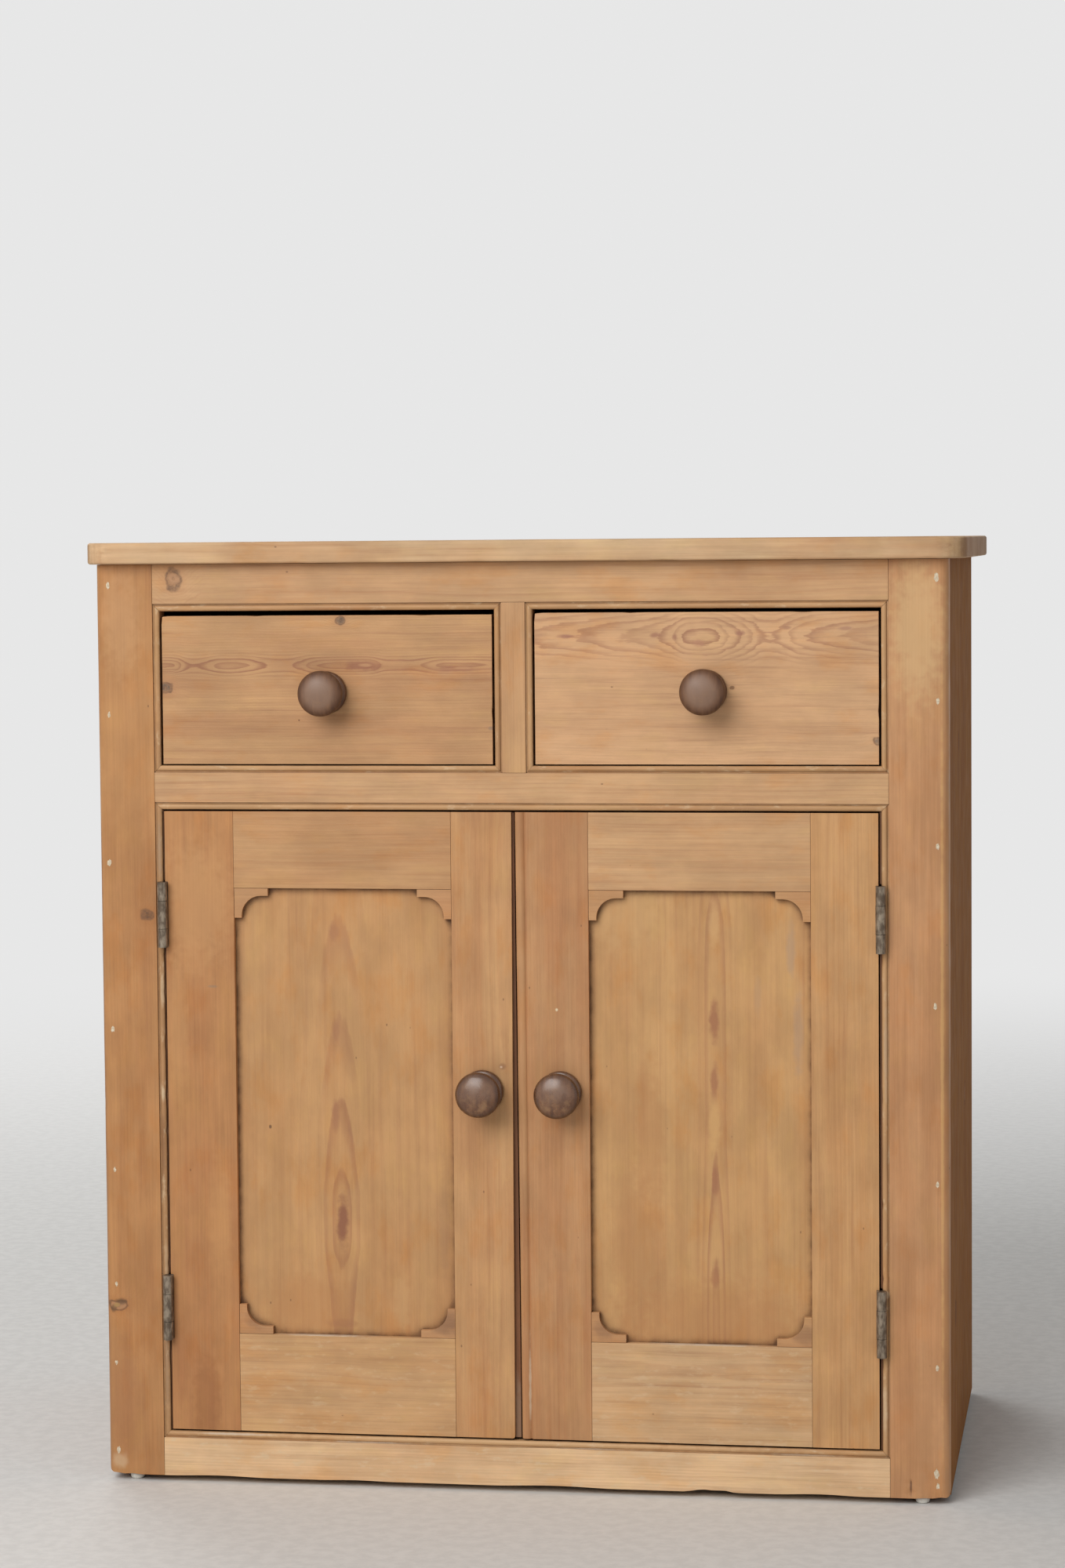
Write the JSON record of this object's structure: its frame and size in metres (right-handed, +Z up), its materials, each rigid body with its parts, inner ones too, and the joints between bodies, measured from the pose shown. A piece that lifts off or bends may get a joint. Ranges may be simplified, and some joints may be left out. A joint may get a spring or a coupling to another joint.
{
  "type": "cupboard",
  "caption": "Low pine cupboard with drawers side by side over a pair of framed and panelled doors on butt hinges, turned knobs, beaded openings and an overhanging top with rounded corners.",
  "frame": {"origin": "on the floor, under the middle of the cupboard's box, knobs included", "axes": "+Z up, the front with its doors and drawers faces -Y, +X to the viewer's right"},
  "size_m": [0.9966, 0.609, 1.0775],
  "materials": {
    "pine_top": "waxed old pine",
    "pine_side": "waxed old pine",
    "pine_frame": "waxed old pine",
    "pine_bead": "waxed old pine",
    "pine_inside": "bare old pine",
    "pine_door": "waxed old pine",
    "pine_panel": "waxed old pine",
    "pine_drawer_front": "waxed old pine",
    "pine_drawer_box": "bare pine",
    "knob_wood": "dark stained, waxed",
    "hinge_iron": "worn",
    "screw_steel": "dull",
    "nail_iron": "dull",
    "catch_brass": "dull",
    "glide_plastic": "white"
  },
  "bodies": {
    "case": {"top_boards": "pine_top", "side_left": "pine_side", "side_right": "pine_side", "stile_left": "pine_frame", "stile_right": "pine_frame", "rail_top": "pine_frame", "rail_middle": "pine_frame", "rail_bottom": "pine_frame", "muntin": "pine_frame", "bead_drawer_left": "pine_bead", "bead_drawer_right": "pine_bead", "bead_doors": "pine_bead", "floor_board": "pine_inside", "shelf": "pine_inside", "shelf_cleats": "pine_inside", "drawer_runners": "pine_inside", "drawer_guides": "pine_inside", "drawer_kickers": "pine_inside", "drawer_stops": "pine_inside", "rail_back_top": "pine_inside", "rail_back_middle": "pine_inside", "back_boards": "pine_inside", "door_stop": "pine_inside", "hinge_leaves_case": "hinge_iron", "hinge_pins": "hinge_iron", "hinge_screws_case": "screw_steel", "frame_nails": "nail_iron", "door_catches": "catch_brass", "floor_glides": "glide_plastic"},
    "door_left": {"door_left_hinge_stile": "pine_door", "door_left_meeting_stile": "pine_door", "door_left_top_rail": "pine_door", "door_left_bottom_rail": "pine_door", "door_left_spandrels": "pine_door", "door_left_panel": "pine_panel", "door_left_knob": "knob_wood", "door_left_hinge_leaves": "hinge_iron", "door_left_hinge_screws": "screw_steel"},
    "drawer_left": {"drawer_left_front": "pine_drawer_front", "drawer_left_side_left": "pine_drawer_box", "drawer_left_side_right": "pine_drawer_box", "drawer_left_back": "pine_drawer_box", "drawer_left_bottom": "pine_drawer_box", "drawer_left_knob": "knob_wood"},
    "door_right": {"door_right_hinge_stile": "pine_door", "door_right_meeting_stile": "pine_door", "door_right_top_rail": "pine_door", "door_right_bottom_rail": "pine_door", "door_right_spandrels": "pine_door", "door_right_panel": "pine_panel", "door_right_knob": "knob_wood", "door_right_hinge_leaves": "hinge_iron", "door_right_hinge_screws": "screw_steel"},
    "drawer_right": {"drawer_right_front": "pine_drawer_front", "drawer_right_side_left": "pine_drawer_box", "drawer_right_side_right": "pine_drawer_box", "drawer_right_back": "pine_drawer_box", "drawer_right_bottom": "pine_drawer_box", "drawer_right_knob": "knob_wood"}
  },
  "joints": [
    {"name": "door_left_hinge", "type": "hinge", "parent": "case", "child": "door_left", "pos_m": [-0.41075, -0.2666, 0.41705], "axis": [0, 0, -1], "range_deg": [0, 175]},
    {"name": "door_right_hinge", "type": "hinge", "parent": "case", "child": "door_right", "pos_m": [0.40425, -0.2666, 0.41705], "axis": [0, 0, 1], "range_deg": [0, 175]},
    {"name": "drawer_left_slide", "type": "slide", "parent": "case", "child": "drawer_left", "axis": [0, -1, 0], "range_m": [0, 0.36]},
    {"name": "drawer_right_slide", "type": "slide", "parent": "case", "child": "drawer_right", "axis": [0, -1, 0], "range_m": [0, 0.36]}
  ]
}
